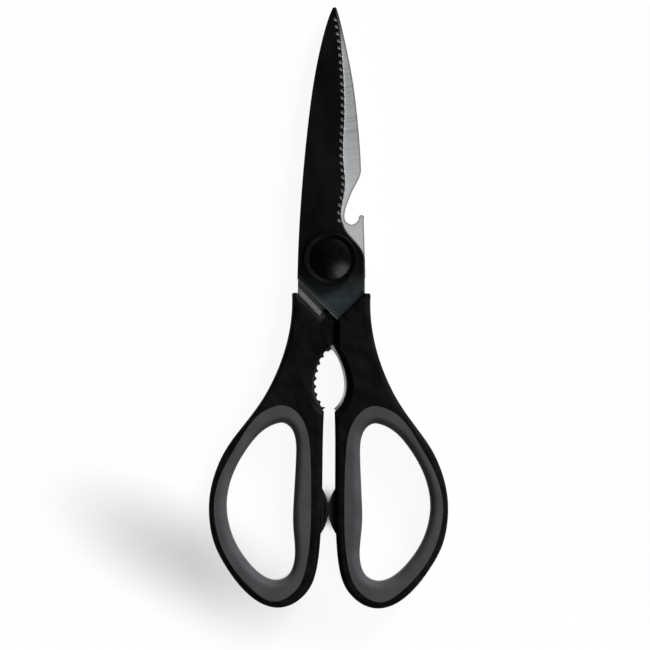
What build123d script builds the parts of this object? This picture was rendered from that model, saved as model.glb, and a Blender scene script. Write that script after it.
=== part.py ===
from build123d import *
import os
from math import cos, radians, sqrt

os.makedirs("parts", exist_ok=True)

# Kitchen shears, closed and lying flat, in millimetres.
# The pivot's axis is Z through the origin, the blade tips point along +Y, and z = 0 is the
# plane that the shears lie on. Seen from above, the front blade runs into the right handle
# and the back blade into the left one. Each half is drawn as the front one lies, spine on
# the left, and the back half is then turned over about Y.

# Overall sizes
BLADE_REACH = 92.3
HANDLE_REACH = 127.9
HANDLE_SPAN = 87.8
HANDLE_THICKNESS = 11.0

# Blades
BLADE_THICKNESS = 2.2
BLADE_HALF_WIDTH = 12.5
PIVOT_SHIFT = 0.4
HEEL_INSET = 0.2
TIP_SHIFT = 0.8
TIP_WIDTH = 1.6
TIP_ROUND = 0.45
EDGE_BEVEL_WIDTH = 0.45
EDGE_BEVEL_DEPTH = 1.3
BACK_BEVEL = 0.3

# Ground flutes along the front blade's cutting edge
FLUTE_COUNT = 29
FLUTE_PITCH = 2.64
FLUTE_RADIUS = 0.95
FLUTE_LENGTH = 1.9
FLUTE_DEPTH = 0.7
FLUTE_TIP_MARGIN = 4.2
FLUTE_SLANT = 18.0

# Bottle opener in the back blade's spine
NOTCH_DEPTH = 7.8
NOTCH_HEIGHT = 19.7
NOTCH_FOOT = 12.75

# Tangs, from the pivot into the handles
TANG_EDGE_DISTANCE = 13.8
TANG_SEAM_WALL = 2.0
TANG_GAP = 0.3
TANG_END = 2.3
TANG_HOLE_RADIUS = 1.6

# Nutcracker between the handles
JAW_HALF_WIDTH = 5.4
JAW_TOP = 32.4
JAW_LENGTH = 22.5
JAW_LEDGE = 1.1
TOOTH_COUNT = 8
TOOTH_PITCH = 2.78
TOOTH_RADIUS = 1.15
TOOTH_START = 3.2
TOOTH_RISE = 0.4
TOOTH_STAND = 0.5

# Handles
SHOULDER_DROP = 12.5
SHOULDER_WALL = 1.95
HANDLE_EDGE_DISTANCE = 17.5
SEAM_SHIFT = 1.2
SEAM_GAP = 0.05
SLOT_WIDTH = 3.8
EDGE_ROUND = 2.0
TOP_BEVEL = 1.4
SHOULDER_ROUND = 0.9
SEAM_BEVEL = 2.5
JAW_BEVEL_RIGHT = 2.4
JAW_BEVEL_LEFT = 1.6

# Finger loops and their soft grips
HOLE_DROP = 5.3
LOOP_INNER_BAND = 9.85
LOOP_SHIFT = 0.3
LOOP_OUTER_BAND = 6.5
LOOP_END_BAND = 9.8
GRIP_BAND = 6.4
GRIP_ROUND = 2.9
WEB_THICKNESS = 3.0
WEB_SHARE = 0.45

# Stop pads that meet when the shears are closed
PAD_END_DISTANCE = 35.7
PAD_LENGTH = 14.2
PAD_THICKNESS = 6.0
PAD_ROOT = 1.9
PAD_GAP = 0.1
PAD_RIM = 0.9
PAD_RECESS = 0.7

# Pivot
SHANK_RADIUS = 3.0
PIVOT_CLEARANCE = 0.05
KEY_WIDTH = 6.6
BLADE_WASHER_RADIUS = 6.5
BLADE_WASHER_THICKNESS = 0.3
BOLT_HEAD_RADIUS = 6.0
BOLT_HEAD_THICKNESS = 1.15
DRIVE_SLOT_WIDTH = 1.2
DRIVE_SLOT_DEPTH = 0.5
SPRING_HEIGHT = 0.65
SPRING_STOCK = 0.3
SPRING_RADIUS = 5.6
NUT_WIDTH = 9.0
NUT_THICKNESS = 1.5
COLLAR_RADIUS = 9.64
COLLAR_CREST_SHARE = 0.97
COLLAR_RIM_DROP = 0.35
COLLAR_CREST_DROP = 0.55
COLLAR_DISH = 1.0
CAP_RADIUS = 7.7
CAP_EDGE_DROP = 1.3
CAP_CLEARANCE = 0.08
CAP_FLAT_RADIUS = 4.5
COVER_GAP = 0.15

OVERRUN = 1.0

MID_LEVEL = HANDLE_THICKNESS / 2
BLADE_BASE = MID_LEVEL + BLADE_WASHER_THICKNESS / 2
BLADE_TOP = BLADE_BASE + BLADE_THICKNESS
HALF_SPAN = HANDLE_SPAN / 2
JAW_END = JAW_TOP + JAW_LENGTH
TANG_REACH = JAW_END + TANG_END
HOLE_TOP = JAW_END + HOLE_DROP
PAD_CENTRE = HANDLE_REACH - PAD_END_DISTANCE
HEAD_TOP = BLADE_TOP + BOLT_HEAD_THICKNESS
NUT_FACE = BLADE_TOP + SPRING_HEIGHT + NUT_THICKNESS

# Outline shares: the first number is across, of the offset at the pivot, and the second is
# along, of the blade's reach.
FRONT_SPINE_SHARES = [
    (-0.100, 0.963), (-0.245, 0.900), (-0.545, 0.709), (-0.728, 0.518), (-0.858, 0.328),
    (-0.950, 0.137),
]
BACK_SPINE_SHARES = [
    (-0.184, 0.968), (-0.308, 0.900), (-0.594, 0.709), (-0.766, 0.518), (-0.824, 0.423),
]
EDGE_SHARES = [
    (0.242, 0.900), (0.373, 0.709), (0.400, 0.550), (0.376, 0.400), (0.430, 0.280),
    (0.322, 0.185), (0.400, 0.125), (0.753, 0.066), (0.965, 0.020), (1.000, -0.035),
]
# Into the blade, of the notch's depth, and up from its foot, of its height.
HOOK_SHARES = [(0.105, 0.100), (0.215, 0.180), (0.330, 0.145)]
NOTCH_SHARES = [
    (0.436, 0.043), (0.705, 0.000), (0.960, 0.069), (1.000, 0.216), (0.840, 0.440),
    (0.600, 0.665), (0.333, 0.870), (0.246, 1.000),
]
# Tang's outer side: across, of the heel's offset, and along, of the tang's reach.
TANG_SHARES = [(0.93, 0.28), (0.93, 0.60), (0.90, 0.80), (0.66, 0.94), (0.34, 1.00)]
TANG_HOLE_SHARES = [(0.56, 0.48), (0.71, 0.68)]
# Jaw: across, of its half width, and down from its top, of its length.
JAW_SHARES = [(0.57, 0.19), (0.89, 0.41), (1.00, 0.62), (0.81, 0.84), (0.30, 1.00)]
# Slot side and end of a loop: across, from the slot's edge to the span's, and down, from
# the jaw to the loop's end.
SLOT_SHARES = [
    (0.009, 0.20), (0.012, 0.48), (0.026, 0.67), (0.053, 0.80), (0.104, 0.890),
    (0.190, 0.952), (0.280, 0.986), (0.393, 1.000), (0.508, 0.986), (0.664, 0.925),
    (0.838, 0.800),
]
# Outer side of a loop: across, from the shoulder to the span, and down, from the finger
# hole's top to the loop's end.
OUTER_SHARES = [
    (0.925, 0.659), (0.990, 0.531), (0.989, 0.395), (0.921, 0.267), (0.784, 0.1375),
    (0.570, 0.008),
]
# Flank above it: across as before, and down, from the shoulder to the finger hole's top.
FLANK_SHARES = [(0.355, 0.825), (0.200, 0.641), (0.090, 0.457), (0.022, 0.273)]
# Stations round a finger hole: across and down the hole, then the grip's band there.
LOOP_SHARES = [
    (0.237, 0.000, 1.00), (0.436, 0.036, 0.86), (0.709, 0.165, 0.61), (0.900, 0.316, 0.61),
    (1.000, 0.517, 0.70), (0.960, 0.656, 0.73), (0.861, 0.770, 0.78), (0.689, 0.883, 0.83),
    (0.514, 0.959, 0.90), (0.283, 1.000, 1.15), (0.111, 0.9725, 0.86), (0.023, 0.895, 0.73),
    (0.033, 0.655, 1.00), (0.029, 0.483, 1.00), (0.000, 0.208, 0.83), (0.018, 0.088, 0.77),
    (0.096, 0.022, 0.86),
]


def turn_over(shape):
    """Turns a half over about Y at mid thickness, onto the other side."""
    return Pos(0, 0, MID_LEVEL) * Rot(0, 180, 0) * Pos(0, 0, -MID_LEVEL) * shape


def slab(face, base, thickness):
    """Raises a plan face from base by thickness."""
    return Pos(0, 0, base) * extrude(face, thickness)


def turned(outline):
    """Solid of revolution about the pivot, from a closed outline of (radius, height)."""
    return revolve(make_face(Plane.XZ * outline), Axis.Z)


def spine_offset(side):
    """From the pivot to the spine, where the blades cross."""
    return BLADE_HALF_WIDTH - side * PIVOT_SHIFT


def heel_offset(side):
    """From the pivot to the heel, which hides behind the other blade's spine."""
    return spine_offset(-side) - HEEL_INSET


def spine_foot(side):
    """The corner where the spine meets the tang's slanted inner edge."""
    x = -spine_offset(side)
    return (x, -TANG_EDGE_DISTANCE * sqrt(2) - x)


def tip_corner(side, way):
    """The rounded tip's end towards the spine (way -1) or the cutting edge (way 1)."""
    return (side * TIP_SHIFT + way * TIP_WIDTH / 2, BLADE_REACH - TIP_ROUND)


def tip_arc(side):
    """The blunt tip, from the spine to the cutting edge."""
    return ThreePointArc(tip_corner(side, -1), (side * TIP_SHIFT, BLADE_REACH), tip_corner(side, 1))


def seam_offset(side):
    """From the pivot across to a handle's own face at the seam."""
    return side * SEAM_SHIFT + SEAM_GAP / 2


def jaw_curve(start, grow=0.0):
    """The nutcracker's side, from its top, grown outwards into the handle."""
    top = JAW_TOP - grow
    length = JAW_LENGTH + 2 * grow
    points = [(x * (JAW_HALF_WIDTH + grow), -top - y * length) for x, y in JAW_SHARES]
    return Spline((start, -top), *points)


def steel_jaw(side):
    """A tang's own side of the nutcracker; the toothed one stands further out."""
    if side > 0:
        return jaw_curve(TANG_GAP)
    return jaw_curve(seam_offset(side) + TANG_GAP, -TOOTH_STAND)


def edge_curve(side):
    """The cutting edge from the tip to the heel, and past the relief by the pivot."""
    heel = heel_offset(side)
    points = [tip_corner(side, 1)] + [(x * heel, y * BLADE_REACH) for x, y in EDGE_SHARES]
    start = Vector(points[1]) - Vector(points[0])
    return Spline(points, tangents=[start, (0, -1)])


def spine_curve(side):
    """Plain spine: one sweep from its foot to the tip."""
    offset = spine_offset(side)
    points = [(x * offset, y * BLADE_REACH) for x, y in FRONT_SPINE_SHARES]
    return Spline(spine_foot(side), *reversed(points), tip_corner(side, -1))


def notched_spine_curve(side):
    """Spine with a hook and a bottle opener's notch below the sweep to the tip."""
    offset = spine_offset(side)
    hook = [(-offset + x * NOTCH_DEPTH, NOTCH_FOOT + y * NOTCH_HEIGHT) for x, y in HOOK_SHARES]
    notch = [(-offset + x * NOTCH_DEPTH, NOTCH_FOOT + y * NOTCH_HEIGHT) for x, y in NOTCH_SHARES]
    points = [(x * offset, y * BLADE_REACH) for x, y in BACK_SPINE_SHARES]
    sweep = Spline(notch[-1], *reversed(points), tip_corner(side, -1))
    bay = Spline(hook[-1], *notch)
    return Line(spine_foot(side), hook[0]) + ThreePointArc(*hook) + bay + sweep


def blade_face(side, spine):
    """Plan of a blade with its tang, the tang's holes and the jaw."""
    heel = heel_offset(side)
    tang = [(x * heel, -y * TANG_REACH) for x, y in TANG_SHARES]
    jaw = steel_jaw(side)
    wall = seam_offset(side) + TANG_SEAM_WALL
    inner = [(wall, -JAW_TOP + TANG_SEAM_WALL), (wall, -TANG_EDGE_DISTANCE * sqrt(2) - wall)]
    edge = edge_curve(side)
    outline = spine + tip_arc(side) + edge + Polyline(edge @ 1, (heel, -SHOULDER_DROP), *tang, jaw @ 1)
    outline += jaw + Polyline(jaw @ 0, *inner, spine_foot(side))
    face = make_face(outline)
    for x, y in TANG_HOLE_SHARES:
        face -= Pos(x * heel, -y * TANG_REACH) * Circle(TANG_HOLE_RADIUS)
    return face


def flat_face(shape, level):
    """The flat face at a level."""
    return shape.faces().filter_by(Axis.Z).sort_by(lambda f: abs(f.center().Z - level))[0]


def rim_edges(shape, level):
    """The outer edges of the flat face at a level."""
    return flat_face(shape, level).outer_wire().edges()


def bevelled_blade(face, width, depth):
    """Raises a blade's plan and grinds a bevel along its cutting edge's outer side."""
    blade = slab(face, BLADE_BASE, BLADE_THICKNESS)
    rim = rim_edges(blade, BLADE_TOP).filter_by(lambda e: e.center().X > 0)
    cutting = rim.sort_by(Edge.length)[-1]
    return chamfer(cutting, width, depth, reference=flat_face(blade, BLADE_TOP))


def flutes(edge):
    """Round cutters that scoop the blade's outer face along its cutting edge."""
    run = sqrt(FLUTE_LENGTH ** 2 + FLUTE_DEPTH ** 2)
    align = (Align.CENTER, Align.CENTER, Align.MIN)
    cutters = []
    for i in range(FLUTE_COUNT):
        distance = FLUTE_TIP_MARGIN + i * FLUTE_PITCH
        foot = edge.position_at(distance, position_mode=PositionMode.LENGTH)
        along = edge.tangent_at(distance, position_mode=PositionMode.LENGTH)
        inward = Vector(along.Y, -along.X).rotate(Axis.Z, -FLUTE_SLANT)
        axis = (inward * FLUTE_LENGTH + Vector(0, 0, FLUTE_DEPTH)) / run
        lift = (Vector(0, 0, FLUTE_LENGTH) - inward * FLUTE_DEPTH) / run
        start = foot + Vector(0, 0, BLADE_TOP - FLUTE_DEPTH) + lift * FLUTE_RADIUS
        plane = Plane(origin=start - axis * FLUTE_LENGTH, z_dir=axis)
        cutters.append(plane * Cylinder(FLUTE_RADIUS, run + 2 * FLUTE_LENGTH, align=align))
    return cutters


def front_blade():
    """Fluted along the cutting edge, with a square hole for the bolt's key."""
    face = blade_face(1, spine_curve(1)) - Rectangle(KEY_WIDTH, KEY_WIDTH)
    blade = bevelled_blade(face, EDGE_BEVEL_WIDTH, EDGE_BEVEL_DEPTH)
    return blade - flutes(edge_curve(1))


def jaw_teeth():
    """Round bites that leave pointed teeth along the jaw."""
    jaw = steel_jaw(-1)
    bites = []
    for i in range(TOOTH_COUNT):
        distance = TOOTH_START + i * TOOTH_PITCH
        at = jaw.position_at(distance, position_mode=PositionMode.LENGTH)
        bites.append(Pos(at.X - TOOTH_RISE, at.Y) * Circle(TOOTH_RADIUS))
    return bites


def back_blade():
    """Bottle opener in the spine, toothed jaw and a round bore for the bolt's shank."""
    face = blade_face(-1, notched_spine_curve(-1))
    face -= [Circle(SHANK_RADIUS + PIVOT_CLEARANCE)] + jaw_teeth()
    return bevelled_blade(face, BACK_BEVEL, BACK_BEVEL)


def handle_top(side):
    """Corners from the outer shoulder along the tang's mouth and down the seam."""
    seam = seam_offset(side)
    reach = HANDLE_EDGE_DISTANCE * sqrt(2)
    peak = TANG_EDGE_DISTANCE * sqrt(2) + SEAM_GAP
    foot = (reach - peak) / 2
    corners = [
        (spine_offset(-side) + SHOULDER_WALL, -SHOULDER_DROP),
        (reach - SHOULDER_DROP, -SHOULDER_DROP),
        (foot, foot - reach),
    ]
    if seam < 0:
        corners.append((0, -peak))
    return corners + [(seam, -peak - abs(seam)), (seam, -JAW_TOP + JAW_LEDGE)]


def handle_face(side):
    """Plan of a handle, with its loop filled."""
    top = handle_top(side)
    shoulder = top[0][0]
    slot = SLOT_WIDTH / 2
    jaw = jaw_curve(top[-1][0], JAW_LEDGE)
    loop_top = JAW_END + JAW_LEDGE
    across = HALF_SPAN - shoulder
    outside = [
        (slot + x * (HALF_SPAN - slot), -loop_top - y * (HANDLE_REACH - loop_top))
        for x, y in SLOT_SHARES
    ]
    outside += [
        (shoulder + x * across, -HOLE_TOP - y * (HANDLE_REACH - HOLE_TOP)) for x, y in OUTER_SHARES
    ]
    outside += [
        (shoulder + x * across, -SHOULDER_DROP - y * (HOLE_TOP - SHOULDER_DROP))
        for x, y in FLANK_SHARES
    ]
    return make_face(Polyline(*top) + jaw + Spline(jaw @ 1, *outside, top[0]))


def loop_face(side, share):
    """The finger hole, grown outwards by a share of the grip's band."""
    left = SLOT_WIDTH / 2 + LOOP_INNER_BAND - side * LOOP_SHIFT
    width = HALF_SPAN - LOOP_OUTER_BAND - left
    length = HANDLE_REACH - LOOP_END_BAND - HOLE_TOP
    hole = [Vector(left + x * width, -HOLE_TOP - y * length) for x, y, _ in LOOP_SHARES]
    points = []
    for i, station in enumerate(LOOP_SHARES):
        along = (hole[(i + 1) % len(hole)] - hole[i - 1]).normalized()
        points.append(hole[i] + Vector(-along.Y, along.X) * station[2] * GRIP_BAND * share)
    return make_face(Spline(*points, periodic=True))


def both_faces(cutter):
    """A cutter for the front face and its mirror image for the back face."""
    return [cutter, mirror(cutter, Plane.XY.offset(MID_LEVEL))]


def straight_bevel(start, end, width):
    """Cutter for the edge from start to end, with the handle on its left."""
    along = (Vector(end) - Vector(start)).normalized()
    plane = Plane(origin=start, x_dir=Vector(-along.Y, along.X), z_dir=along)
    top = HANDLE_THICKNESS + OVERRUN
    far = width + OVERRUN
    corners = Polyline((-OVERRUN, top), (far, top), (-OVERRUN, top - far - OVERRUN), close=True)
    prism = extrude(plane * make_face(corners), (Vector(end) - Vector(start)).length)
    return both_faces(prism)


def shoulder_cut(side):
    """Cutter that rounds the outer corner of a handle's shoulder."""
    x, y = handle_top(side)[0]
    reach = SHOULDER_ROUND + OVERRUN
    corner = Rectangle(reach, reach, align=Align.MIN) - Circle(SHOULDER_ROUND)
    return extrude(Pos(x - SHOULDER_ROUND, y - SHOULDER_ROUND) * corner, HANDLE_THICKNESS)


def jaw_flare(side, width):
    """Cutter that widens the jaw's opening towards the handle's faces."""
    start = seam_offset(side)
    layers = []
    for grow, level in ((JAW_LEDGE, HANDLE_THICKNESS - width), (JAW_LEDGE + width, HANDLE_THICKNESS)):
        jaw = jaw_curve(start, grow)
        layers.append(Pos(0, 0, level) * make_face(jaw + Line(jaw @ 1, jaw @ 0)))
    return both_faces(loft(layers))


def handle_blank(side, jaw_bevel):
    """Handle and grip in one: rounded outside and in the finger hole, bevelled at the seam."""
    blank = extrude(handle_face(side), HANDLE_THICKNESS)
    rims = rim_edges(blank, HANDLE_THICKNESS) + rim_edges(blank, 0)
    blank = fillet(rims.sort_by(Edge.length)[-2:], EDGE_ROUND)
    hole = extrude(loop_face(side, 0), HANDLE_THICKNESS)
    blank -= hole
    around = hole.edges().filter_by(GeomType.BSPLINE)[0].length
    rims = blank.edges().filter_by(Plane.XY).filter_by(lambda e: abs(e.length - around) < EDGE_ROUND / 2)
    blank = fillet(rims, GRIP_ROUND)
    corners = handle_top(side)
    seam, seam_end = corners[-1]
    blank -= straight_bevel(corners[1], corners[2], TOP_BEVEL)
    blank -= straight_bevel(corners[-2], (seam, seam_end - SEAM_BEVEL), SEAM_BEVEL)
    return blank - jaw_flare(side, jaw_bevel) - shoulder_cut(side)


def stop_pad():
    """A crowned pad set in the slot side of a handle, with a shallow recess in each face."""
    slot = SLOT_WIDTH / 2
    rise = slot - PAD_GAP / 2
    radius = (PAD_LENGTH ** 2 / 4 + rise ** 2) / (2 * rise)
    centre = Pos(PAD_GAP / 2 + radius, -PAD_CENTRE)
    root = Pos(slot + PAD_ROOT, -PAD_CENTRE) * Rectangle(
        2 * (PAD_ROOT + slot), PAD_LENGTH * 2, align=(Align.MAX, Align.CENTER))
    base = MID_LEVEL - PAD_THICKNESS / 2
    pad = slab(centre * Circle(radius) & root, base, PAD_THICKNESS)
    shown = Pos(slot, -PAD_CENTRE) * Rectangle(slot, PAD_LENGTH, align=(Align.MAX, Align.CENTER))
    dip = slab(centre * Circle(radius - PAD_RIM) & shown, HANDLE_THICKNESS - base - PAD_RECESS, PAD_RIM)
    return pad - both_faces(dip)


def grip_web(side):
    """The handle's thin web that the grip is moulded round."""
    face = loop_face(side, 1) - loop_face(side, WEB_SHARE)
    return slab(face, MID_LEVEL - WEB_THICKNESS / 2, WEB_THICKNESS)


def handle_and_grip(side, jaw_bevel, blade):
    """One handle with its tang's pocket and pad's seat, and the soft grip in its loop."""
    blank = handle_blank(side, jaw_bevel)
    inside = extrude(loop_face(side, 1), HANDLE_THICKNESS)
    grip = (blank & inside) - grip_web(side)
    handle = blank - grip - blade - stop_pad()
    return handle, grip


def dome_curve(flat):
    """From the cap's edge up to its flat or its crown."""
    rise = CAP_EDGE_DROP
    run = CAP_RADIUS - flat
    radius = (run ** 2 + rise ** 2) / (2 * rise)
    start = (CAP_RADIUS, HANDLE_THICKNESS - rise)
    return RadiusArc(start, (flat, HANDLE_THICKNESS), -radius)


def collar(base):
    """Dished ring round the pivot: a raised crest outside and a seat for the cap inside."""
    crest = COLLAR_RADIUS * COLLAR_CREST_SHARE
    inside = BOLT_HEAD_RADIUS + CAP_CLEARANCE
    seat = CAP_RADIUS + CAP_CLEARANCE
    return turned(Polyline(
        (inside, base), (COLLAR_RADIUS, base),
        (COLLAR_RADIUS, HANDLE_THICKNESS - COLLAR_CREST_DROP - COLLAR_RIM_DROP),
        (crest, HANDLE_THICKNESS - COLLAR_CREST_DROP),
        (seat, HANDLE_THICKNESS - COLLAR_CREST_DROP - COLLAR_DISH),
        (seat, HEAD_TOP), (inside, HEAD_TOP), close=True))


def front_cap():
    """Domed cap over the bolt's head."""
    dome = dome_curve(0)
    return turned(dome + Polyline(dome @ 1, (0, HEAD_TOP), (CAP_RADIUS, HEAD_TOP), dome @ 0))


def back_cap():
    """Cap over the nut, with a flat that the shears lie on."""
    dome = dome_curve(CAP_FLAT_RADIUS)
    pocket = NUT_WIDTH / 2 / cos(radians(30)) + CAP_CLEARANCE
    return turned(dome + Polyline(
        dome @ 1, (0, HANDLE_THICKNESS), (0, NUT_FACE), (pocket, NUT_FACE), (pocket, HEAD_TOP),
        (CAP_RADIUS, HEAD_TOP), dome @ 0))


def pivot_bolt():
    """Slotted head, square key for the front blade and a shank through the back one."""
    end = HANDLE_THICKNESS - NUT_FACE
    low = (Align.CENTER, Align.CENTER, Align.MIN)
    bolt = Pos(0, 0, end) * Cylinder(SHANK_RADIUS, BLADE_BASE - end, align=low)
    bolt += Pos(0, 0, BLADE_BASE) * Box(KEY_WIDTH, KEY_WIDTH, BLADE_THICKNESS, align=low)
    bolt += Pos(0, 0, BLADE_TOP) * Cylinder(BOLT_HEAD_RADIUS, BOLT_HEAD_THICKNESS, align=low)
    slot = Box(2 * BOLT_HEAD_RADIUS + OVERRUN, DRIVE_SLOT_WIDTH, DRIVE_SLOT_DEPTH, align=low)
    return bolt - Pos(0, 0, HEAD_TOP - DRIVE_SLOT_DEPTH) * slot


def spring_washer():
    """Coned washer that presses the blades together."""
    bore = SHANK_RADIUS + PIVOT_CLEARANCE
    tilt = SPRING_HEIGHT - SPRING_STOCK
    return turned(Polyline(
        (bore, BLADE_TOP + tilt), (SPRING_RADIUS, BLADE_TOP),
        (SPRING_RADIUS, BLADE_TOP + SPRING_STOCK), (bore, BLADE_TOP + SPRING_HEIGHT), close=True))


def pivot_nut():
    """Hexagon nut on the end of the shank."""
    face = RegularPolygon(NUT_WIDTH / 2, 6, major_radius=False) - Circle(SHANK_RADIUS)
    return slab(face, NUT_FACE - NUT_THICKNESS, NUT_THICKNESS)


def blade_washer():
    """Thin washer between the blades."""
    face = Circle(BLADE_WASHER_RADIUS) - Circle(SHANK_RADIUS + PIVOT_CLEARANCE)
    return slab(face, MID_LEVEL - BLADE_WASHER_THICKNESS / 2, BLADE_WASHER_THICKNESS)


def build():
    """Every piece of the shears, by name."""
    front = front_blade()
    back = back_blade()
    right_handle, right_grip = handle_and_grip(1, JAW_BEVEL_RIGHT, front)
    left_handle, left_grip = handle_and_grip(-1, JAW_BEVEL_LEFT, back)
    return {
        "front_blade": front,
        "right_handle": right_handle,
        "right_grip": right_grip,
        "right_stop_pad": stop_pad(),
        "back_blade": turn_over(back),
        "left_handle": turn_over(left_handle),
        "left_grip": turn_over(left_grip),
        "left_stop_pad": turn_over(stop_pad()),
        "pivot_bolt": pivot_bolt(),
        "blade_washer": blade_washer(),
        "front_collar": collar(BLADE_TOP),
        "front_cap": front_cap(),
        "spring_washer": turn_over(spring_washer()),
        "pivot_nut": turn_over(pivot_nut()),
        "back_collar": turn_over(collar(BLADE_TOP + COVER_GAP)),
        "back_cap": turn_over(back_cap()),
    }


for name, piece in build().items():
    export_step(piece, f"parts/{name}.step")
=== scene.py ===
"""Kitchen shears lying closed on a pale floor: finishes, fine parts, light and camera."""

from __future__ import annotations

import logging
import math
from dataclasses import dataclass, field
from enum import Enum

import bmesh
import bpy
import numpy as np
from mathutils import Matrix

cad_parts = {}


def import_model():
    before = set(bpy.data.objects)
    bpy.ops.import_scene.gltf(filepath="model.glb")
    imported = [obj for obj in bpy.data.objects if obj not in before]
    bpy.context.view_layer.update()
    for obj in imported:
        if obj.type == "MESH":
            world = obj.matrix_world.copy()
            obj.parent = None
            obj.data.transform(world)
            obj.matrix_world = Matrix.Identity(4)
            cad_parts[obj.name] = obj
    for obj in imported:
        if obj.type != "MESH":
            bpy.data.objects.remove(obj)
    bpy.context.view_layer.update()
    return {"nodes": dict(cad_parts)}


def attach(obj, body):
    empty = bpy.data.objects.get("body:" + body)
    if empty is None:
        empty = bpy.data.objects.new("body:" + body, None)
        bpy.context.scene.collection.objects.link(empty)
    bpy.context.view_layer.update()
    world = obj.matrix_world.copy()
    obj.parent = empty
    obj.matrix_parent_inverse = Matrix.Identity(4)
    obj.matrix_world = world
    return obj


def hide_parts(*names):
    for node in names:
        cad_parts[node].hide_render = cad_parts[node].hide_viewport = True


LOG = logging.getLogger("shears")
MM = 0.001
# Distance of the front blade's slanted lower edge from the pivot, in millimetres
SLANT_OFFSET = 13.8
# A Mix node's two colours and its coloured result, among its other sockets
FIRST, SECOND, MIXED = 6, 7, 2
# Points closer than this are one point, and heights this close are the same, in millimetres
MERGED, SAME_HEIGHT = 0.002, 0.001
# A face is a wall if its normal rises less than the first, and flat if more than the second
WALL, FLAT = 0.05, 0.999
Span = tuple[float, float]


class Side(Enum):
    """The two faces of the shears, as the sign of their outward Z."""

    FRONT = 1
    BACK = -1


class Half(Enum):
    """The two halves of the shears, by the body that each one is."""

    FRONT = "front_half"
    BACK = "back_half"


def in_metres(span: Span) -> Span:
    """Turns two millimetre values into metres."""
    return span[0] * MM, span[1] * MM


# Shader nodes


def linear(code: str) -> tuple[float, float, float, float]:
    """Turns an sRGB hex colour into linear light.

    A channel c up to 0.04045 becomes c / 12.92, and above that ((c + 0.055) / 1.055)^2.4.

    Args:
        code: The colour as six hex digits.

    Returns:
        Red, green, blue and an alpha of 1.
    """
    channels = np.array([int(code[i:i + 2], 16) for i in (0, 2, 4)]) / 255
    low, high = channels / 12.92, ((channels + 0.055) / 1.055) ** 2.4
    red, green, blue = np.where(channels <= 0.04045, low, high)
    return float(red), float(green), float(blue), 1.0


def add(
    tree: bpy.types.NodeTree,
    kind: str,
    inputs: dict | tuple = (),
    out: int | str = 0,
    **settings: str | int,
) -> bpy.types.NodeSocket | None:
    """Adds one node with its settings and links.

    Args:
        tree: The node tree.
        kind: The node's type, without the words that all types start with.
        inputs: The inputs in order, or by name or number. Each is a plain value, a hex
            colour or the socket that feeds it.
        out: The output that is wanted.
        **settings: The node's own properties.

    Returns:
        That output, or none where the node has no outputs.
    """
    node = tree.nodes.new(f"ShaderNode{kind}")
    for name, value in settings.items():
        setattr(node, name, value)
    for name, value in (inputs if isinstance(inputs, dict) else dict(enumerate(inputs))).items():
        if isinstance(value, bpy.types.NodeSocket):
            tree.links.new(value, node.inputs[name])
        else:
            node.inputs[name].default_value = linear(value) if isinstance(value, str) else value
    return node.outputs[out] if node.outputs else None


def along(tree: bpy.types.NodeTree, axis: str) -> bpy.types.NodeSocket:
    """Reads one of the object's own coordinates, in metres."""
    return add(tree, "SeparateXYZ", (add(tree, "TexCoord", out="Object"),), axis)


def from_slant(tree: bpy.types.NodeTree) -> bpy.types.NodeSocket:
    """Reads the distance from the front blade's slanted lower edge, in metres.

    It is (x + y) / sqrt 2 plus that edge's own distance from the pivot.
    """
    total = add(tree, "Math", (along(tree, "X"), along(tree, "Y")), operation="ADD")
    return add(tree, "Math", (total, math.sqrt(1 / 2), SLANT_OFFSET * MM), operation="MULTIPLY_ADD")


@dataclass(frozen=True)
class Grain:
    """Soft noise on the object's own coordinates, in blotches of a real size.

    A blotch has its size along X, Y and Z in millimetres and is turned about Z in degrees.
    Detail is the octaves of finer noise, and shift moves the pattern, so that layers differ.
    """

    size: tuple[float, float, float]
    turn: float = 0.0
    detail: float = 3.0
    shift: float = 0.0
    fine_share: float = 0.55

    def value(self, tree: bpy.types.NodeTree) -> bpy.types.NodeSocket:
        """Adds the noise.

        Args:
            tree: The node tree.

        Returns:
            Its value, from about 0.3 to 0.7.
        """
        place = {
            "Vector": add(tree, "TexCoord", out="Object"),
            "Location": (self.shift * MM, self.shift * MM, 0),
            "Rotation": (0, 0, math.radians(self.turn)),
            "Scale": tuple(s * MM for s in self.size),
        }
        mapped = add(tree, "Mapping", place, vector_type="TEXTURE")
        shape = {"Vector": mapped, "Scale": 1.0, "Detail": self.detail, "Roughness": self.fine_share}
        return add(tree, "TexNoise", shape)

    def mask(self, tree: bpy.types.NodeTree, span: Span, levels: Span = (0.0, 1.0)) -> bpy.types.NodeSocket:
        """Adds the noise, spread out.

        Args:
            tree: The node tree.
            span: The noise's values that count.
            levels: What they become.

        Returns:
            The spread value.
        """
        return add(tree, "MapRange", (self.value(tree), *span, *levels))


@dataclass(frozen=True)
class Relief:
    """Small bumps: their depth in millimetres and their share."""

    depth: float
    share: float

    def over(self, height: bpy.types.NodeSocket) -> dict:
        """Gives the settings of bumps that follow a height."""
        return {"Strength": self.share, "Distance": self.depth * MM, "Height": height}


def new_tree(name: str) -> tuple[bpy.types.Material, bpy.types.NodeTree]:
    """Makes an empty material.

    Args:
        name: The material's name.

    Returns:
        The material and its node tree.
    """
    material = bpy.data.materials.new(name)
    material.use_nodes = True
    material.node_tree.nodes.clear()
    return material, material.node_tree


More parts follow.
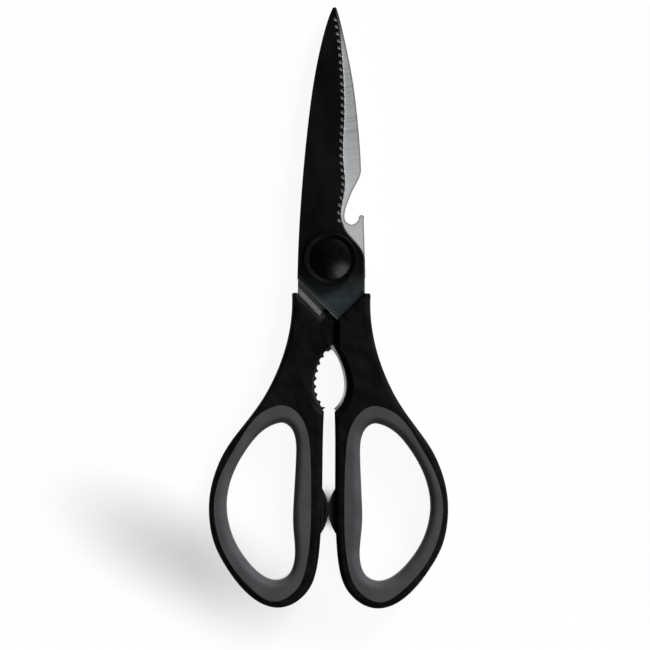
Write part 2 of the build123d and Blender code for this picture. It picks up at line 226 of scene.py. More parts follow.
def layered(
    tree: bpy.types.NodeTree,
    colour: str | bpy.types.NodeSocket,
    layers: tuple[tuple[bpy.types.NodeSocket, str | bpy.types.NodeSocket], ...],
) -> bpy.types.NodeSocket:
    """Lays colours over a first one.

    Args:
        tree: The node tree.
        colour: The first colour.
        layers: Each further colour with the mask that shows it.

    Returns:
        The colour that results.
    """
    for mask, tone in layers:
        colour = add(tree, "Mix", {0: mask, FIRST: colour, SECOND: tone}, MIXED, data_type="RGBA")
    return colour


# Finishes


@dataclass(frozen=True)
class GroundSteel:
    """Hardened stainless steel, ground flat: bright, with fine straight grinding lines.

    The lines run across the blade, a little uphill. Real ones are under 0.1 mm apart, and
    they are drawn several times as coarse so that they show. The steel is lighter by the
    pivot and darker towards the tip and below the pivot. Painted light brightens the strip's
    closed end, which the handles' walls shade, and painted shade darkens the jaw. A painted
    shadow of the front blade darkens the strip along its slanted edge, and a painted shade
    darkens the band along the outer edge. Each shade fades in from its first height to its
    second, in millimetres, up to its share.
    """

    name: str = "ground stainless steel"
    dark: str = "949698"
    light: str = "cfd1d3"
    painted_shade: str = "2c2d2e"
    lines: Grain = Grain((26.0, 0.42, 5.0), 12.0, 4.0)
    bands: Grain = Grain((30.0, 3.2, 5.0), 12.0, 2.0, 40.0)
    line_span: Span = (0.33, 0.67)
    band_span: Span = (0.35, 0.65)
    band_share: float = 0.4
    shades: tuple[tuple[Span, float, str], ...] = (
        ((52.0, 22.0), 0.45, "f6f8fa"),
        ((78.0, 89.0), 0.75, "2c2d2e"),
        ((-4.0, -12.0), 0.45, "2c2d2e"),
        # Painted light: the steel strip's closed end, which the handles' walls shade
        ((-18.8, -20.0), 1.0, "ffffff"),
        # Painted shade: the back blade's jaw
        ((-26.0, -31.0), 0.98, "2c2d2e"),
    )
    # Painted shadow of the front blade along its slanted edge: where it starts and its width, in
    # millimetres, and its share
    slant_shadow_start: Span = (-6.0, -9.0)
    slant_shadow_width: Span = (-2.3, -1.6)
    slant_shadow_share: float = 0.85
    # Share of the painted shade on the band along the outer edge
    rim_share: float = 0.45
    roughness: float = 0.46
    line_roughness: float = 0.08
    relief: Relief = Relief(0.02, 0.35)

    def painted_slant_shading(self, tree: bpy.types.NodeTree) -> bpy.types.NodeSocket:
        """A mask of the band along the front blade's slanted edge, where that blade's shadow is painted."""
        height = along(tree, "Y")
        below = add(tree, "MapRange", (height, *in_metres(self.slant_shadow_start), 0.0, self.slant_shadow_share))
        near = add(tree, "MapRange", (from_slant(tree), *in_metres(self.slant_shadow_width)))
        return add(tree, "Math", (below, near), operation="MULTIPLY")

    def material(self) -> bpy.types.Material:
        """Builds the material; its band attribute is 1 along the blade's outer edge, which gets a painted
        shade.
        """
        material, tree = new_tree(self.name)
        lines = self.lines.value(tree)
        fine = add(tree, "MapRange", (lines, *self.line_span))
        wide = self.bands.mask(tree, self.band_span, (0.0, self.band_share))
        height = along(tree, "Y")
        layers = [(fine, self.light), (wide, self.light)]
        for heights, share, tone in self.shades:
            layers.append((add(tree, "MapRange", (height, *in_metres(heights), 0.0, share)), tone))
        rim = add(tree, "Attribute", {}, "Fac", attribute_name="rim")
        rim = add(tree, "Math", (rim, self.rim_share), operation="MULTIPLY")
        # Painted shade: the front blade's shadow along its slanted edge, and the darker band along the outer
        # edge
        layers += [(self.painted_slant_shading(tree), self.painted_shade), (rim, self.painted_shade)]
        rough = (fine, 0.0, 1.0, self.roughness + self.line_roughness, self.roughness)
        shader = {
            "Metallic": 1.0,
            "Base Color": layered(tree, self.dark, layers),
            "Roughness": add(tree, "MapRange", rough),
            "Normal": add(tree, "Bump", self.relief.over(lines)),
        }
        add(tree, "OutputMaterial", (add(tree, "BsdfPrincipled", shader),))
        return material


@dataclass(frozen=True)
class BlackCoat:
    """Black non-stick coat, baked on steel: satin, faintly cloudy, cut through at the flutes.

    Two thin painted highlights run along the slanted lower edge, where its eased edge catches
    the light, each with its distance and width in millimetres and its share.
    """

    name: str = "black coated steel"
    deep: str = "020202"
    cloud: str = "090a0a"
    # Painted reflection: the grey sheen below the pivot
    painted_reflection_tone: str = "2a3234"
    hollow: str = "4c4d4d"
    # Painted light: the jaw's ground steel, paler than the steel elsewhere, for light that the handles'
    # walls keep off it
    jaw: str = "ececec"
    honed: str = "9c9e9f"
    # Painted highlight: the tone of the two thin lines along the slanted lower edge
    painted_slant_shading: str = "505454"
    clouds: Grain = Grain((9.0, 22.0, 9.0))
    cloud_span: Span = (0.35, 0.7)
    streaks: Grain = Grain((0.5, 30.0, 5.0), 2.0, 3.0, 15.0)
    streak_span: Span = (0.52, 0.8)
    streak_share: float = 0.5
    patches: Grain = Grain((7.0, 7.0, 7.0), 30.0, 2.0, 5.0)
    patch_span: Span = (0.3, 0.62)
    patch_floor: float = 0.45
    # Heights where the painted reflection fades in, in millimetres
    painted_reflection_band: Span = (-5.0, -15.0)
    honed_width: Span = (0.47, 0.37)
    honed_ends: tuple[Span, ...] = ((84.0, 74.0), (13.0, 17.0))
    dark_width: Span = (0.68, 0.92)
    jaw_start: Span = (-30.9, -31.1)
    # Painted shade: the jaw darkens towards its upper and lower ends, each from its first height to its
    # second, up to its share
    jaw_ends: tuple[tuple[Span, float], ...] = (((-43.0, -37.0), 0.35), ((-49.0, -54.0), 0.85))
    edge_line: Span = (0.45, 0.3)
    inner_line: float = 1.15
    inner_width: Span = (0.3, 0.1)
    inner_share: float = 0.3
    metal_share: float = 0.35
    roughness: float = 0.4
    cloud_roughness: float = 0.1
    rough_span: Span = (0.3, 0.7)
    specular: float = 0.08
    specks: Grain = Grain((0.35, 0.35, 0.35), 0.0, 2.0)
    relief: Relief = Relief(0.01, 0.2)

    def edge_highlight_lines(self, tree: bpy.types.NodeTree) -> bpy.types.NodeSocket:
        """A mask of the two thin painted highlight lines."""
        inside = from_slant(tree)
        first = add(tree, "MapRange", (inside, *in_metres(self.edge_line)))
        off = add(tree, "Math", (inside, self.inner_line * MM), operation="SUBTRACT")
        off = add(tree, "Math", (off,), operation="ABSOLUTE")
        second = add(tree, "MapRange", (off, *in_metres(self.inner_width), 0.0, self.inner_share))
        return add(tree, "Math", (first, second), operation="MAXIMUM")

    def black(self, tree: bpy.types.NodeTree, clouds: bpy.types.NodeSocket) -> bpy.types.NodeSocket:
        """The coat's colour: cloudy, streaked, and with a patchy painted reflection towards the handles.

        Args:
            tree: The node tree.
            clouds: The clouds' noise.

        Returns:
            The colour.
        """
        cloudy = add(tree, "MapRange", (clouds, *self.cloud_span))
        streaked = self.streaks.mask(tree, self.streak_span, (0.0, self.streak_share))
        # Painted reflection, patchy, from below the pivot towards the handles
        low = add(tree, "MapRange", (along(tree, "Y"), *in_metres(self.painted_reflection_band)))
        patchy = self.patches.mask(tree, self.patch_span, (self.patch_floor, 1.0))
        painted_reflection_band = add(tree, "Math", (low, patchy), operation="MULTIPLY")
        return layered(tree, self.deep, ((cloudy, self.cloud), (streaked, self.cloud), (painted_reflection_band, self.painted_reflection_tone)))

    def material(self) -> bpy.types.Material:
        """Builds the material; the coat is ground away in the flutes, the jaw and at the edge.

        The bare attribute is 1 on the ground faces, and the edge attribute is the distance
        to the cutting edge in millimetres.
        """
        material, tree = new_tree(self.name)
        clouds = self.clouds.value(tree)
        height = along(tree, "Y")
        edge = add(tree, "Attribute", {}, "Fac", attribute_name="edge")
        inner = add(tree, "MapRange", (edge, *self.dark_width))
        ground = add(tree, "Attribute", {}, "Fac", attribute_name="bare")
        hollow = add(tree, "Math", (ground, inner), operation="MULTIPLY")
        honed = add(tree, "MapRange", (edge, *self.honed_width))
        for heights in self.honed_ends:
            fade = add(tree, "MapRange", (height, *in_metres(heights)))
            honed = add(tree, "Math", (honed, fade), operation="MULTIPLY")
        jaw = add(tree, "MapRange", (height, *in_metres(self.jaw_start)))
        fades = [add(tree, "MapRange", (height, *in_metres(h), 0.0, share)) for h, share in self.jaw_ends]
        # Painted light and shade on the jaw: bright in its middle, darker towards its ends
        jaw_tone = layered(tree, self.jaw, tuple((fade, self.hollow) for fade in fades))
        # Painted highlights along the slanted lower edge
        mottle_tone_and_glint = self.edge_highlight_lines(tree)
        layers = ((hollow, self.hollow), (honed, self.honed), (mottle_tone_and_glint, self.painted_slant_shading), (jaw, jaw_tone))
        bare = add(tree, "Math", (hollow, honed), operation="MAXIMUM")
        bare = add(tree, "Math", (bare, jaw), operation="MAXIMUM")
        rough = (clouds, *self.rough_span, self.roughness, self.roughness + self.cloud_roughness)
        shader = {
            "Specular IOR Level": self.specular,
            "Base Color": layered(tree, self.black(tree, clouds), layers),
            "Metallic": add(tree, "Math", (bare, self.metal_share), operation="MULTIPLY"),
            "Roughness": add(tree, "MapRange", rough),
            "Normal": add(tree, "Bump", self.relief.over(self.specks.value(tree))),
        }
        add(tree, "OutputMaterial", (add(tree, "BsdfPrincipled", shader),))
        return material


@dataclass(frozen=True)
class Moulding:
    """A moulded black plastic or rubber: two close shades, mottled, with a fine skin."""

    name: str
    deep: str
    mottle_tone_and_glint: str
    mottle: Grain
    mottle_span: Span
    roughness: Span
    specular: float
    skin: Grain
    relief: Relief
    rough_span: Span = (0.3, 0.7)

    def material(self) -> bpy.types.Material:
        """Builds the material."""
        material, tree = new_tree(self.name)
        mottle = self.mottle.value(tree)
        mask = add(tree, "MapRange", (mottle, *self.mottle_span))
        shader = {
            "Specular IOR Level": self.specular,
            "Base Color": layered(tree, self.deep, ((mask, self.mottle_tone_and_glint),)),
            "Roughness": add(tree, "MapRange", (mottle, *self.rough_span, *self.roughness)),
            "Normal": add(tree, "Bump", self.relief.over(self.skin.value(tree))),
        }
        add(tree, "OutputMaterial", (add(tree, "BsdfPrincipled", shader),))
        return material


class Finish(Enum):
    """The moulded finishes."""

    # Polypropylene from an etched mould: satin, with a pebbled grain under half a millimetre
    PLASTIC = Moulding(
        name="black moulded polypropylene",
        deep="070808",
        mottle_tone_and_glint="141615",
        mottle=Grain((4.0, 7.0, 4.0), 35.0, 4.0),
        mottle_span=(0.4, 0.72),
        roughness=(0.52, 0.4),
        specular=0.03,
        skin=Grain((0.4, 0.4, 0.4), 0.0, 2.0),
        relief=Relief(0.03, 0.3),
    )
    # Thermoplastic rubber moulded over the handle: matt, even, a little dusty
    GREY_RUBBER = Moulding(
        name="grey thermoplastic rubber",
        deep="3b3c3e",
        mottle_tone_and_glint="454648",
        mottle=Grain((6.0, 11.0, 6.0), 20.0, 4.0),
        mottle_span=(0.35, 0.7),
        roughness=(0.6, 0.6),
        specular=0.1,
        skin=Grain((0.3, 0.3, 0.3), 0.0, 2.0),
        relief=Relief(0.02, 0.25),
    )
    # The same rubber in black, a little less matt
    BLACK_RUBBER = Moulding(
        name="black thermoplastic rubber",
        deep="0d0d0e",
        mottle_tone_and_glint="1a1a1b",
        mottle=Grain((6.0, 11.0, 6.0), 20.0, 4.0),
        mottle_span=(0.35, 0.7),
        roughness=(0.5, 0.5),
        specular=0.1,
        skin=Grain((0.3, 0.3, 0.3), 0.0, 2.0),
        relief=Relief(0.02, 0.25),
    )
    # Acrylonitrile butadiene styrene from a polished mould: glossy, with a faint orange peel
    GLOSS = Moulding(
        name="glossy black styrene",
        deep="020203",
        mottle_tone_and_glint="050506",
        mottle=Grain((3.0, 3.0, 3.0)),
        mottle_span=(0.0, 1.0),
        roughness=(0.2, 0.32),
        specular=0.15,
        skin=Grain((0.5, 0.5, 0.5), 0.0, 2.0),
        relief=Relief(0.015, 0.25),
    )
    # The same plastic from a duller mould
    SATIN = Moulding(
        name="satin black styrene",
        deep="020203",
        mottle_tone_and_glint="050506",
        mottle=Grain((3.0, 3.0, 3.0)),
        mottle_span=(0.0, 1.0),
        roughness=(0.42, 0.54),
        specular=0.05,
        skin=Grain((0.5, 0.5, 0.5), 0.0, 2.0),
        relief=Relief(0.015, 0.25),
    )


@dataclass(frozen=True)
class FloorPaper:
    """Pale seamless studio paper: matt, nearly white, with its shadows held light.

    A painted shadow greys it softly beyond the handles' lower left. Its glow doesn't reach
    into gaps that are far deeper than wide, which stay dark.
    """

    name: str = "pale studio paper"
    tint: str = "fbfbfb"
    lit: str = "ffffff"
    roughness: float = 0.9
    glow_share: float = 0.93
    gap: float = 5.0
    gap_open: Span = (0.25, 0.45)
    gap_rays: int = 16
    # The painted shadow: its tone, centre and reach in millimetres, and turn in degrees
    shaded: str = "d0d0d0"
    shade_centre: Span = (-54.0, -110.0)
    shade_reach: Span = (66.0, 26.0)
    shade_turn: float = -27.0

    def shade(self, tree: bpy.types.NodeTree) -> bpy.types.NodeSocket:
        """A soft oval mask of the painted shadow: 1 in its middle and 0 at its reach."""
        place = {
            "Vector": add(tree, "TexCoord", out="Object"),
            "Location": (*in_metres(self.shade_centre), 0),
            "Rotation": (0, 0, math.radians(self.shade_turn)),
            "Scale": (*in_metres(self.shade_reach), 1),
        }
        middle = add(tree, "Mapping", place, vector_type="TEXTURE")
        away = add(tree, "VectorMath", (middle,), "Value", operation="LENGTH")
        return add(tree, "MapRange", (away, 1.0, 0.0), interpolation_type="SMOOTHSTEP")

    def material(self) -> bpy.types.Material:
        """Builds the material; the glow shows to the eye and in gloss, and lights nothing."""
        material, tree = new_tree(self.name)
        matt = {"Base Color": self.tint, "Roughness": self.roughness, "Specular IOR Level": 0.0}
        paper = add(tree, "BsdfPrincipled", matt)
        tone = layered(tree, self.lit, ((self.shade(tree), self.shaded),))
        glow = add(tree, "Emission", {"Color": tone, "Strength": 1.0})
        rays = add(tree, "LightPath", out="Is Camera Ray")
        for kind in ("Is Glossy Ray", "Is Transmission Ray"):
            rays = add(tree, "Math", (rays, add(tree, "LightPath", out=kind)), operation="MAXIMUM")
        sky = add(tree, "AmbientOcclusion", {"Distance": self.gap * MM}, "AO", samples=self.gap_rays)
        reach = add(tree, "MapRange", (sky, *self.gap_open, 0.0, self.glow_share))
        seen = add(tree, "Math", (rays, reach), operation="MULTIPLY")
        add(tree, "OutputMaterial", (add(tree, "MixShader", (seen, paper, glow)),))
        return material


# Surfaces


def smooth_mesh(mesh: bpy.types.Mesh, angle: float) -> None:
    """Merges a mesh's doubles, turns its faces outwards and smooths all but sharp edges.

    Args:
        mesh: The mesh.
        angle: Edges sharper than this stay sharp, in degrees.
    """
    work = bmesh.new()
    work.from_mesh(mesh)
    bmesh.ops.remove_doubles(work, verts=work.verts, dist=MERGED * MM)
    bmesh.ops.recalc_face_normals(work, faces=work.faces)
    work.to_mesh(mesh)
    work.free()
    mesh.shade_smooth()
    mesh.set_sharp_from_angle(angle=math.radians(angle))


def lathe(
    profile: np.ndarray,
    count: int,
    centre: Span = (0.0, 0.0),
    crease: float = 50.0,
) -> bpy.types.Mesh:
    """Turns a closed profile about an upright axis.

    A point (r, z) of the profile goes to (x + r cos t, y + r sin t, z) at each of count even
    angles t, as one grid of angles by profile points.

    Args:
        profile: Radius and height of each point, in millimetres.
        count: Number of angles.
        centre: Where the axis stands, in millimetres.
        crease: Edges sharper than this stay sharp, in degrees.

    Returns:
        The mesh, in metres.
    """
    angles = np.linspace(0, 2 * np.pi, count, endpoint=False)
    radius, height = profile[:, 0], profile[:, 1]
    x = centre[0] + np.outer(np.cos(angles), radius)
    y = centre[1] + np.outer(np.sin(angles), radius)
    z = np.broadcast_to(height, x.shape)
    points = np.stack([x, y, z], axis=-1).reshape(-1, 3) * MM
    rows, columns = np.meshgrid(np.arange(count), np.arange(len(profile)), indexing="ij")
    after, beside = (rows + 1) % count, (columns + 1) % len(profile)
    width = len(profile)
    corners = [rows * width + columns, after * width + columns]
    corners += [after * width + beside, rows * width + beside]
    faces = np.stack(corners, axis=-1).reshape(-1, 4)
    mesh = bpy.data.meshes.new("lathe")
    mesh.from_pydata(points.tolist(), [], faces.tolist())
    smooth_mesh(mesh, crease)
    return mesh


def rounded(corners: np.ndarray, radius: np.ndarray, steps: int = 6) -> np.ndarray:
    """Rounds the corners of a closed profile.

    Each corner becomes a quadratic curve between two points, one on each of its sides, its
    radius away from it: (1 - s)^2 a + 2 s (1 - s) c + s^2 b.

    Args:
        corners: The profile's corners.
        radius: Distance from each corner to where its curve begins; 0 keeps it sharp.
        steps: Points along each curve.

    Returns:
        The rounded profile.
    """
    before, after = np.roll(corners, 1, axis=0), np.roll(corners, -1, axis=0)
    reach = radius[:, None]
    start = corners + reach * (before - corners) / np.linalg.norm(before - corners, axis=1)[:, None]
    end = corners + reach * (after - corners) / np.linalg.norm(after - corners, axis=1)[:, None]
    s = np.linspace(0, 1, steps)[None, :, None]
    curve = (1 - s) ** 2 * start[:, None] + 2 * s * (1 - s) * corners[:, None] + s ** 2 * end[:, None]
    return curve.reshape(-1, 2)


def face_table(mesh: bpy.types.Mesh) -> tuple[np.ndarray, np.ndarray]:
    """Reads a mesh's face centres, in millimetres, and face normals."""
    centres = np.zeros(len(mesh.polygons) * 3, np.float32)
    normals = np.zeros(len(mesh.polygons) * 3, np.float32)
    mesh.polygons.foreach_get("center", centres)
    mesh.polygons.foreach_get("normal", normals)
    return centres.reshape(-1, 3) / MM, normals.reshape(-1, 3)


def mark(mesh: bpy.types.Mesh, name: str, values: np.ndarray, domain: str = "FACE") -> None:
    """Stores one value per face or point for a material to read."""
    layer = mesh.attributes.new(name, "FLOAT", domain)
    layer.data.foreach_set("value", values.astype(np.float32))


def place(
    mesh: bpy.types.Mesh,
    name: str,
    half: Half,
    slot: str,
    material: bpy.types.Material,
) -> bpy.types.Object:
    """Puts a mesh in the scene as a piece that rides on one half.

    Args:
        mesh: The piece's mesh, already in place.
        name: The piece's name.
        half: The half that carries it.
        slot: The record's material slot; not used.
        material: The finish.

    Returns:
        The piece.
    """
    mesh.name = name
    mesh.materials.clear()
    mesh.materials.append(material)
    piece = bpy.data.objects.new(name, mesh)
    bpy.context.scene.collection.objects.link(piece)
    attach(piece, half.value)
    LOG.info("%s: %d faces on %s", name, len(mesh.polygons), half.value)
    return piece


def dress(node: bpy.types.Object, material: bpy.types.Material) -> None:
    """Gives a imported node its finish."""
    for number in range(max(1, len(node.material_slots))):
        if number < len(node.material_slots):
            node.material_slots[number].material = material
        else:
            node.data.materials.append(material)
    LOG.info("%s: %s", node.name, material.name)


# Sub-assemblies


@dataclass
class Blades:
    """The coated front blade and the bare back blade, with their edges eased.

    Lengths and heights are in millimetres. The blades' middle line leans by tip_shift over
    its reach. The cutting edge runs up from the heel, points below the heel get the distance
    off_edge, and the outline within bore_clear of the pivot is no edge. A face is a flute's
    floor if it lies below the skin of the top and its normal rises more than scoop_rise.
    """

    nodes: dict[str, bpy.types.Object]
    top: float = 7.85
    base: float = 5.65
    flute_depth: float = 0.7
    eased: float = 0.16
    sliver: float = 0.001
    back_top: float = 5.35
    # Width of the band along the back blade's outline that gets a painted shade, in millimetres
    rim_width: float = 0.5
    heel: float = -3.0
    tip_shift: float = 0.8
    reach: float = 92.3
    crease: float = 8.0
    bore_clear: float = 6.0
    edge_step: float = 0.5
    off_edge: float = 50.0
    skin: float = 0.01
    flute_slack: float = 0.1
    scoop_rise: float = 0.2
    steel: GroundSteel = field(default_factory=GroundSteel)
    coat: BlackCoat = field(default_factory=BlackCoat)

    def copy(self, node: str, half: Half, slot: str, material: bpy.types.Material) -> bpy.types.Object:
        """Copies a blade's node as a piece with smooth faces and eased edges.

        Args:
            node: The node that the piece replaces.
            half: The half that carries it.
            slot: The record's material slot.
            material: The finish.

        Returns:
            The piece.
        """
        mesh = self.nodes[node].data.copy()
        smooth_mesh(mesh, self.crease)
        self.weigh(mesh)
        piece = place(mesh, f"{node}_ground", half, slot, material)
        ease = piece.modifiers.new("eased edges", "BEVEL")
        ease.width = self.eased * MM
        ease.limit_method = "WEIGHT"
        weld = piece.modifiers.new("welded slivers", "WELD")
        weld.merge_threshold = self.sliver * MM
        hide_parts(node)
        return piece

    def weigh(self, mesh: bpy.types.Mesh) -> None:
        """Marks for easing the edges where a flat face meets an upright wall."""
        work = bmesh.new()
        work.from_mesh(mesh)
        weight = work.edges.layers.float.new("bevel_weight_edge")
        for edge in work.edges:
            rises = sorted(abs(face.normal.z) for face in edge.link_faces)
            if rises[0] < WALL and rises[-1] > FLAT:
                edge[weight] = 1.0
        work.to_mesh(mesh)
        work.free()

    def outline_band(self, mesh: bpy.types.Mesh, level: float) -> None:
        """Splits a band off a flat face along its outline and marks it for a painted shade.

        Args:
            mesh: The blade's mesh.
            level: Height of the flat face in millimetres.
        """
        work = bmesh.new()
        work.from_mesh(mesh)
        rim = work.faces.layers.float.new("rim")
        flat = [
            face for face in work.faces
            if face.normal.z > FLAT and abs(face.calc_center_median().z / MM - level) < SAME_HEIGHT
        ]
        bands = bmesh.ops.inset_region(work, faces=flat, thickness=self.rim_width * MM, use_even_offset=True)
        for face in bands["faces"]:
            face[rim] = 1.0
        work.to_mesh(mesh)
        work.free()

    def edge_distance(self, mesh: bpy.types.Mesh) -> np.ndarray:
        """Works out how far each point lies from the cutting edge.

        The edge is the inner face's outline on the cutting side, read as x by y. A point is
        edge(y) - x from it, times the cosine of the edge's own slant there.

        Args:
            mesh: The front blade's mesh.

        Returns:
            One distance per point in millimetres, large below the heel.
        """
        points = np.zeros(len(mesh.vertices) * 3, np.float32)
        mesh.vertices.foreach_get("co", points)
        x, y, z = points.reshape(-1, 3).T / MM
        middle = self.tip_shift * y / self.reach
        low = (z < self.base + self.skin) & (x > middle) & (y > self.heel)
        low &= np.hypot(x, y) > self.bore_clear
        order = np.argsort(y[low])
        along, across = y[low][order], x[low][order]
        level = np.arange(along[0], along[-1], self.edge_step)
        slant = np.gradient(np.interp(level, along, across), level)
        cosine = 1 / np.sqrt(1 + np.interp(y, level, slant) ** 2)
        distance = (np.interp(y, along, across) - x) * cosine
        return np.where(y > self.heel, distance, self.off_edge)

    def build(self) -> None:
        """Makes both blades."""
        front = self.copy("front_blade", Half.FRONT, "black_steel", self.coat.material())
        centre, normal = face_table(front.data)
        deepest = self.top - self.flute_depth - self.flute_slack
        low = (centre[:, 2] < self.top - self.skin) & (centre[:, 2] > deepest)
        mark(front.data, "bare", low & (normal[:, 2] > self.scoop_rise) & (centre[:, 1] > 0))
        mark(front.data, "edge", self.edge_distance(front.data), "POINT")
        back = self.copy("back_blade", Half.BACK, "bare_steel", self.steel.material())
        self.outline_band(back.data, self.back_top)


@dataclass
class Handles:
    """Both moulded handles with their soft grips and stop pads.

    Lengths are in millimetres. Each pad has two studs in its recess, sunk a little so that
    no gap shows below them.
    """

    nodes: dict[str, bpy.types.Object]
    pad_centre: float = -92.2
    pad_top: float = 8.5
    stud_radius: float = 0.6
    stud_height: float = 0.45
    stud_spacing: float = 5.0
    stud_inset: float = 1.5
    stud_points: int = 8
    stud_sides: int = 20
    stud_sunk: float = 0.1
    pad_recess: float = 0.7

    def studs(self, half: Half, material: bpy.types.Material) -> None:
        """Adds the two small domed studs in a stop pad's recess.

        Each is a quarter of a flattened circle turned about its own axis:
        r = a cos u, z = b sin u.

        Args:
            half: The half whose pad gets them.
            material: The finish.
        """
        way = 1 if half is Half.FRONT else -1
        u = np.linspace(0, np.pi / 2, self.stud_points)
        seat = self.pad_top - self.pad_recess
        base = seat - self.stud_sunk
        dome = np.stack([self.stud_radius * np.cos(u), seat + self.stud_height * np.sin(u)], axis=1)
        profile = np.concatenate([dome, [[0.0, base], [self.stud_radius, base]]])
        for number, along in enumerate((-self.stud_spacing / 2, self.stud_spacing / 2), 1):
            mesh = lathe(profile, self.stud_sides, (way * self.stud_inset, self.pad_centre + along))
            place(mesh, f"pad_stud_{half.name.lower()}_{number}", half, "dark_rubber", material)

    def build(self) -> None:
        """Dresses the nodes and adds the studs."""
        finishes = (Finish.PLASTIC, Finish.GREY_RUBBER, Finish.BLACK_RUBBER)
        plastic, rubber, pad = (finish.value.material() for finish in finishes)
        for side in ("left", "right"):
            dress(self.nodes[f"{side}_handle"], plastic)
            dress(self.nodes[f"{side}_grip"], rubber)
            dress(self.nodes[f"{side}_stop_pad"], pad)
        for half in Half:
            self.studs(half, pad)


@dataclass
class Pivot:
    """The pivot: dished collars with domed caps on both faces, and the hidden bolt.

    Lengths are in millimetres. A collar stands on the blade, rises to its crest just inside
    its radius and falls by its dish to the seat, where the cap lies on the bolt's head. Each
    of its corners is rounded by a length of its own.
    """

    nodes: dict[str, bpy.types.Object]
    thickness: float = 11.0
    blade_top: float = 7.85
    head_top: float = 9.0
    back_gap: float = 0.15
    collar_radius: float = 9.64
    crest_share: float = 0.97
    crest_drop: float = 0.55
    rim_drop: float = 0.35
    dish: float = 0.5
    seat_radius: float = 7.78
    bore: float = 6.08
    cap_radius: float = 7.7
    edge_drop: float = 1.3
    edge_bevel: float = 0.1
    flat_radius: float = 4.5
    foot_round: float = 0.08
    rim_round: float = 0.16
    crest_round: float = 0.14
    lip_round: float = 0.1
    dome_points: int = 24
    sides: int = 128
    steel: GroundSteel = field(default_factory=lambda: GroundSteel("turned stainless steel"))

    def collar(self, side: Side) -> bpy.types.Mesh:
        """Turns the dished collar, with its crest and rims rounded."""
        base = self.blade_top + (self.back_gap if side is Side.BACK else 0.0)
        crest = self.thickness - self.crest_drop
        corners = np.array([
            (self.bore, base, 0.0),
            (self.collar_radius, base, self.foot_round),
            (self.collar_radius, crest - self.rim_drop, self.rim_round),
            (self.collar_radius * self.crest_share, crest, self.crest_round),
            (self.seat_radius, crest - self.dish, self.lip_round),
            (self.seat_radius, self.head_top, 0.0),
            (self.bore, self.head_top, 0.0),
        ])
        return self.turned(rounded(corners[:, :2], corners[:, 2]), side)

    def cap(self, side: Side) -> bpy.types.Mesh:
        """Turns the domed cap: an arc from its edge to its crown, or to its flat at the back."""
        flat = self.flat_radius if side is Side.BACK else 0.0
        run = self.cap_radius - flat
        ball = (run ** 2 + self.edge_drop ** 2) / (2 * self.edge_drop)
        r = np.linspace(self.cap_radius, flat, self.dome_points)
        z = self.thickness - ball + np.sqrt(ball ** 2 - (r - flat) ** 2)
        dome = np.stack([r, z], axis=1)
        ends = [[0.0, self.thickness]] if side is Side.BACK else []
        ends += [[0.0, self.head_top], [self.cap_radius - self.edge_bevel, self.head_top]]
        ends += [[self.cap_radius, self.head_top + self.edge_bevel]]
        return self.turned(np.concatenate([dome, ends]), side)

    def turned(self, profile: np.ndarray, side: Side) -> bpy.types.Mesh:
        """Turns a profile, upside down at mid thickness for the back."""
        if side is Side.BACK:
            profile = np.stack([profile[:, 0], self.thickness - profile[:, 1]], axis=1)
        return lathe(profile, self.sides)

    def build(self) -> None:
        """Makes the collars and caps and dresses the steel parts."""
        gloss, satin = Finish.GLOSS.value.material(), Finish.SATIN.value.material()
        steel = self.steel.material()
        for side in Side:
            name = side.name.lower()
            for kind, mesh, look in (("collar", self.collar(side), satin), ("cap", self.cap(side), gloss)):
                piece = place(mesh, f"{name}_{kind}_gloss", Half.FRONT, "gloss_black", look)
                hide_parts(f"{name}_{kind}")
        for name in ("pivot_bolt", "blade_washer", "spring_washer", "pivot_nut"):
            dress(self.nodes[name], steel)


@dataclass(frozen=True)
class Lamp:
    """A soft distant lamp: the way to it, its strength and how wide it looks, in degrees."""

    name: str
    toward: tuple[float, float, float]
    strength: float
    spread: float

    def build(self) -> None:
        """Hangs the lamp."""
        light = bpy.data.lights.new(self.name, "SUN")
        light.energy = self.strength
        light.angle = math.radians(self.spread)
        holder = bpy.data.objects.new(self.name, light)
        aim = np.array(self.toward) / np.linalg.norm(self.toward)
        holder.rotation_euler = (math.acos(aim[2]), 0, math.atan2(aim[1], aim[0]) + math.pi / 2)
        bpy.context.scene.collection.objects.link(holder)


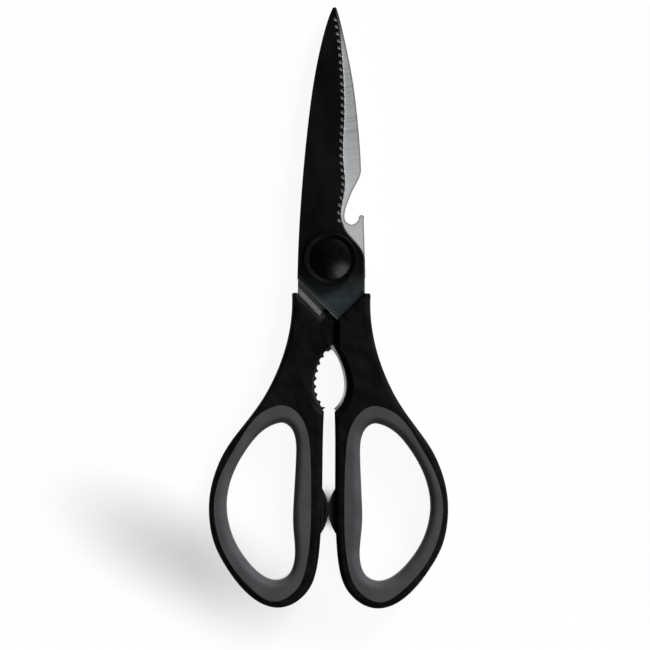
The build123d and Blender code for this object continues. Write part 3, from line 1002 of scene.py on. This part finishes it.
@dataclass
class Studio:
    """Pale floor, soft light from the right and the camera straight above.

    Lengths are in millimetres, and the lean is in degrees. The camera hangs its distance
    above the level and sees the field's width there. The sky goes from overhead to around
    between two rises, and from its shaded side to its full light between two sides.
    """

    centre: Span = (-1.82, -24.22)
    lean: float = 0.458
    distance: float = 1250.0
    field_width: float = 238.4
    level: float = 7.0
    sensor: float = 36.0
    clip: Span = (50.0, 20000.0)
    floor_half: float = 4000.0
    floor_drop: float = 0.02
    rises: Span = (0.95, 0.5)
    overhead: float = 0.03
    around: float = 0.4
    sides: Span = (-0.6, 0.6)
    shaded_side: float = 0.1
    lamps: tuple[Lamp, ...] = (
        Lamp("key", (0.52, 0.74, 0.42), 4.8, 24.0),
        Lamp("fill", (0.36, -0.36, 0.86), 0.9, 26.0),
    )
    paper: FloorPaper = field(default_factory=FloorPaper)

    def floor(self) -> None:
        """Lays the floor just under the shears."""
        half, level = self.floor_half * MM, -self.floor_drop * MM
        mesh = bpy.data.meshes.new("floor")
        corners = [(-half, -half, level), (half, -half, level), (half, half, level), (-half, half, level)]
        mesh.from_pydata(corners, [], [(0, 1, 2, 3)])
        mesh.materials.append(self.paper.material())
        floor = bpy.data.objects.new("floor", mesh)
        bpy.context.scene.collection.objects.link(floor)

    def world(self) -> None:
        """Lights the scene from all round: dark overhead, pale low down, paler on the right."""
        world = bpy.data.worlds.new("studio")
        world.use_nodes = True
        tree = world.node_tree
        tree.nodes.clear()
        way = add(tree, "TexCoord", out="Generated")
        rise, right = (add(tree, "SeparateXYZ", (way,), axis) for axis in ("Z", "X"))
        height = add(tree, "MapRange", (rise, *self.rises, self.overhead, self.around))
        side = add(tree, "MapRange", (right, *self.sides, self.shaded_side, 1.0))
        strength = add(tree, "Math", (height, side), operation="MULTIPLY")
        sky = add(tree, "Background", {"Color": "ffffff", "Strength": strength})
        add(tree, "OutputWorld", (sky,))
        bpy.context.scene.world = world

    def camera(self) -> None:
        """Hangs the camera over the shears, turned a little as they lean in the photograph."""
        lens = bpy.data.cameras.new("camera")
        lens.sensor_width = self.sensor
        lens.sensor_fit = "HORIZONTAL"
        lens.lens = lens.sensor_width * self.distance / self.field_width
        lens.clip_start, lens.clip_end = in_metres(self.clip)
        holder = bpy.data.objects.new("camera", lens)
        height = self.level + self.distance
        holder.location = (self.centre[0] * MM, self.centre[1] * MM, height * MM)
        holder.rotation_euler = (0, 0, math.radians(self.lean))
        bpy.context.scene.collection.objects.link(holder)
        bpy.context.scene.camera = holder

    def build(self) -> None:
        """Sets the stage."""
        self.floor()
        self.world()
        for lamp in self.lamps:
            lamp.build()
        self.camera()
        bpy.context.scene.view_settings.view_transform = "Standard"


def main() -> None:
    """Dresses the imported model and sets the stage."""
    logging.basicConfig(level=logging.INFO, format="%(name)s: %(message)s")
    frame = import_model()
    nodes = frame["nodes"]
    for part in (Blades(nodes), Handles(nodes), Pivot(nodes), Studio()):
        part.build()


if __name__ == "__main__":
    main()
